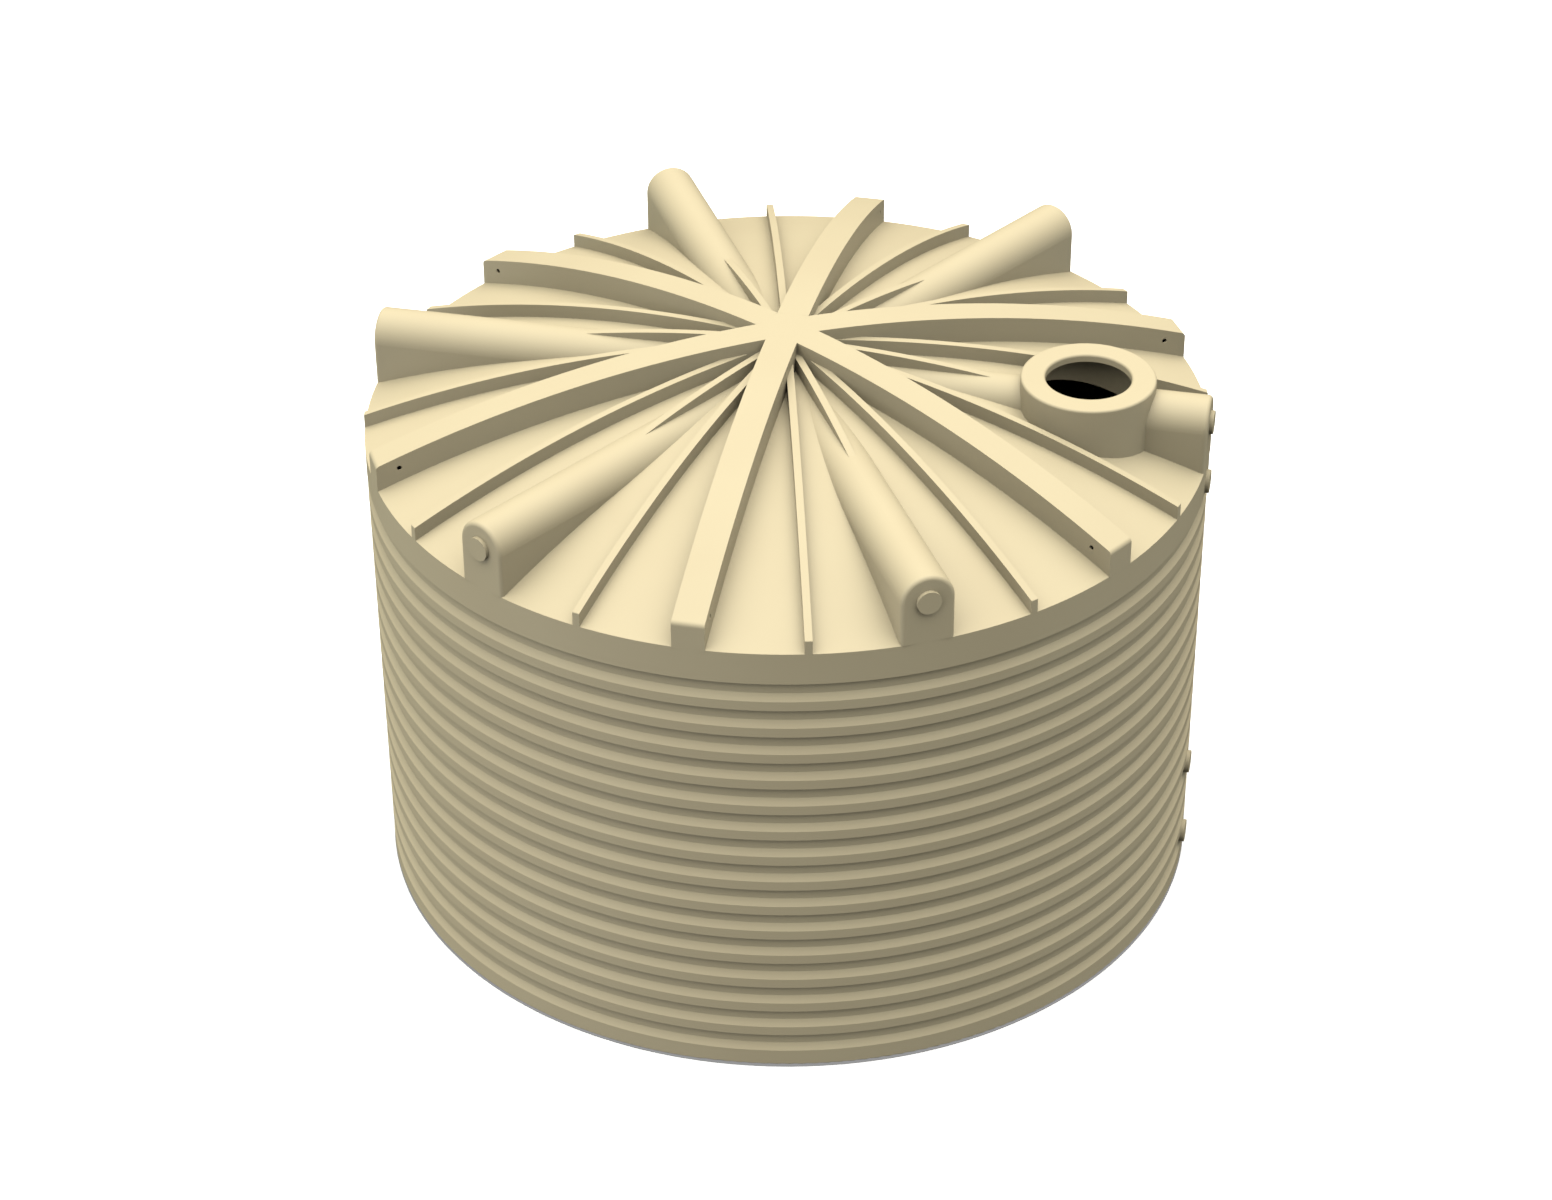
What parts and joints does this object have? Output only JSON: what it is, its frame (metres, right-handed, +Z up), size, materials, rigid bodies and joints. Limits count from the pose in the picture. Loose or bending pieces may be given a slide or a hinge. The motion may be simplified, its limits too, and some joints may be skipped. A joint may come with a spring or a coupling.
{
  "type": "polyethylene rainwater tank",
  "caption": "Round corrugated polyethylene rainwater tank with a ribbed domed roof, arched ducts at the rim, a manhole collar and flat pads for pipe fittings.",
  "frame": {"origin": "centre of the flat underside of the floor", "axes": "+Z up along the tank's axis, +X through the manhole and the outlet pads, -Y through a main rib at the front"},
  "size_m": [4.681, 4.66, 3.256],
  "materials": {
    "polyethylene": "matte"
  },
  "bodies": {
    "root": {"floor": "polyethylene", "wall_panel_01": "polyethylene", "wall_panel_02": "polyethylene", "wall_panel_03": "polyethylene", "wall_panel_04": "polyethylene", "wall_panel_05": "polyethylene", "wall_panel_06": "polyethylene", "wall_panel_07": "polyethylene", "wall_panel_08": "polyethylene", "wall_panel_09": "polyethylene", "wall_panel_10": "polyethylene", "wall_panel_11": "polyethylene", "wall_panel_12": "polyethylene", "roof_panel_1": "polyethylene", "roof_panel_2": "polyethylene", "roof_panel_3": "polyethylene", "roof_panel_4": "polyethylene", "roof_panel_5": "polyethylene", "roof_panel_6": "polyethylene", "roof_hub": "polyethylene", "main_rib_1": "polyethylene", "main_rib_2": "polyethylene", "main_rib_3": "polyethylene", "main_rib_4": "polyethylene", "main_rib_5": "polyethylene", "main_rib_6": "polyethylene", "arch_1": "polyethylene", "arch_2": "polyethylene", "arch_3": "polyethylene", "arch_4": "polyethylene", "arch_5": "polyethylene", "arch_6": "polyethylene", "thin_ribs_1": "polyethylene", "thin_ribs_2": "polyethylene", "thin_ribs_3": "polyethylene", "thin_ribs_4": "polyethylene", "thin_ribs_5": "polyethylene", "thin_ribs_6": "polyethylene", "manhole_collar": "polyethylene", "manhole_lip": "polyethylene", "outlet_pads": "polyethylene"}
  },
  "joints": []
}
